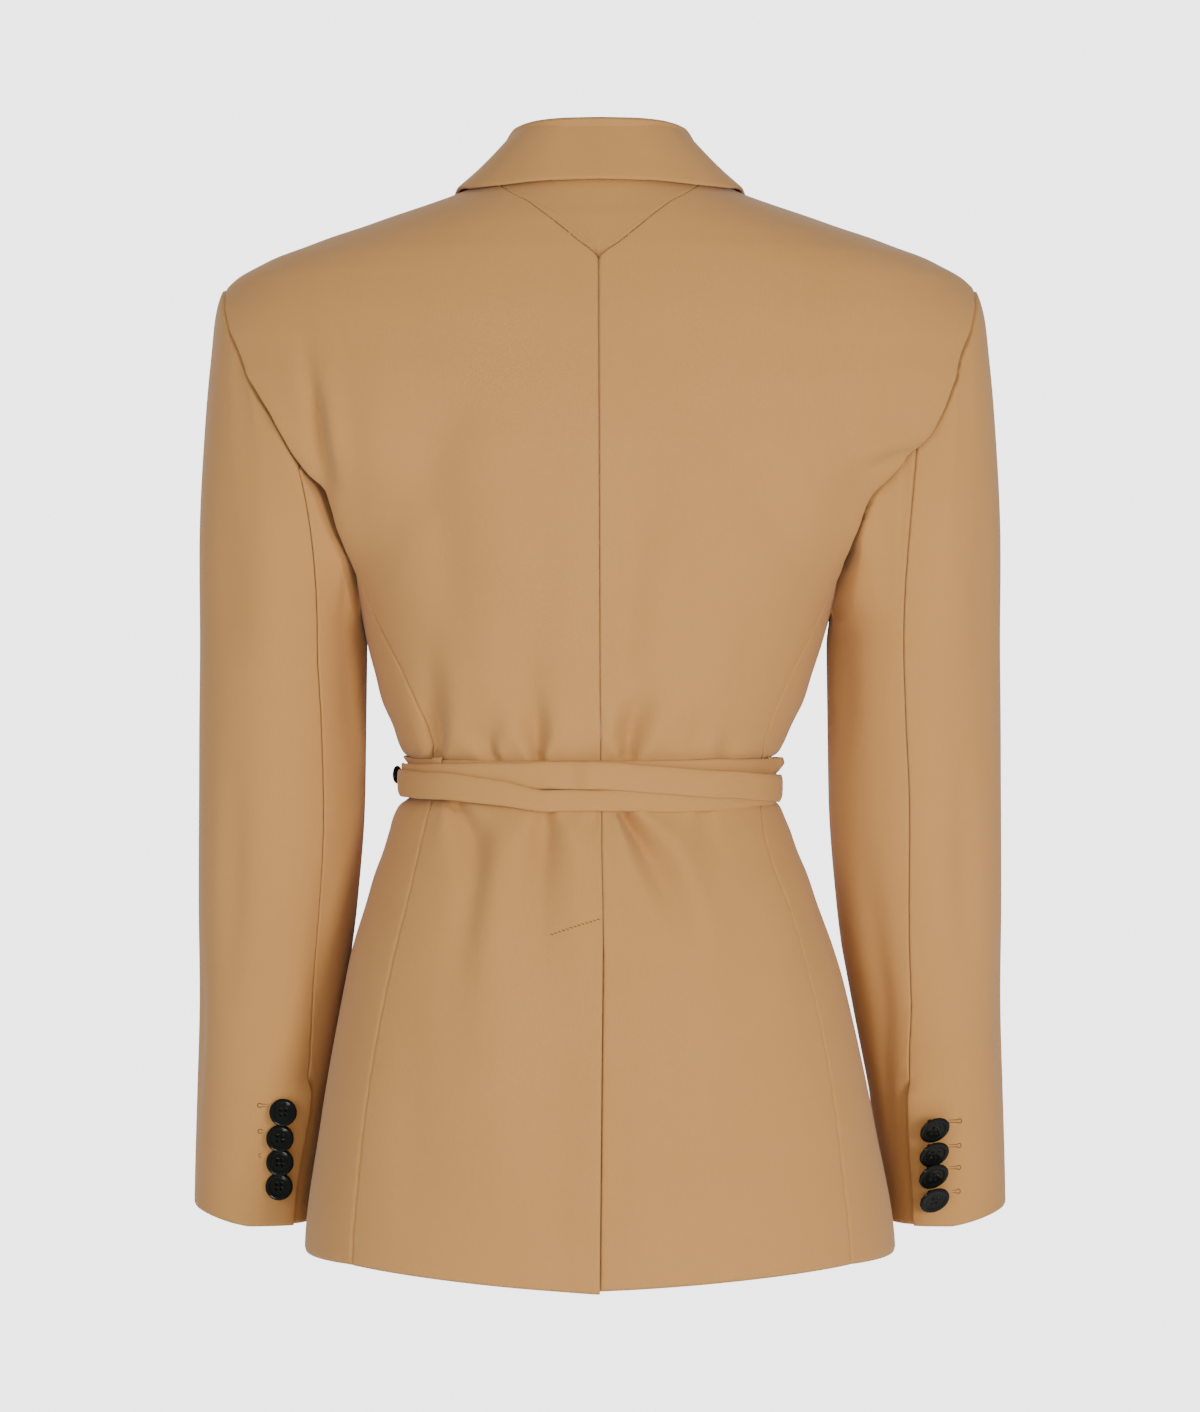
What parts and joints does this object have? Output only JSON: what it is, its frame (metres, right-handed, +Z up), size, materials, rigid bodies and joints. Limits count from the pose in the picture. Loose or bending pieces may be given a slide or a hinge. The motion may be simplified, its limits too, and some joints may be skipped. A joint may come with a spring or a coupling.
{
  "type": "tie-waist blazer",
  "caption": "Hip-length tan blazer in worn, hollow form, with notched collar, two-piece buttoned sleeves, centre back vent and a narrow tie belt wound round the waist.",
  "frame": {"origin": "midway between the shoulders, level with the top of the back neck seam, in the plane through the two shoulder tips", "axes": "+Z up from hem to neck, -Y the way the wearer faces, +X towards the wearer's left arm"},
  "size_m": [0.5078, 0.2573, 0.697],
  "materials": {
    "suiting": "matte",
    "button": "gloss"
  },
  "bodies": {
    "root": {"back_left": "suiting", "back_right": "suiting", "back_yoke": "suiting", "vent_underlap": "suiting", "side_left": "suiting", "side_right": "suiting", "front_left": "suiting", "front_right": "suiting", "lapel_left": "suiting", "lapel_right": "suiting", "collar": "suiting", "top_sleeve_left": "suiting", "top_sleeve_right": "suiting", "under_sleeve_left": "suiting", "under_sleeve_right": "suiting", "belt_turn_1": "suiting", "belt_turn_2": "suiting", "belt_turn_3": "suiting", "belt_knot": "suiting", "belt_tail_left": "suiting", "belt_tail_right": "suiting", "belt_loop_left": "suiting", "belt_loop_right": "suiting", "cuff_button_left_1": "button", "cuff_button_left_2": "button", "cuff_button_left_3": "button", "cuff_button_left_4": "button", "cuff_button_right_1": "button", "cuff_button_right_2": "button", "cuff_button_right_3": "button", "cuff_button_right_4": "button", "waist_button": "button"}
  },
  "joints": []
}
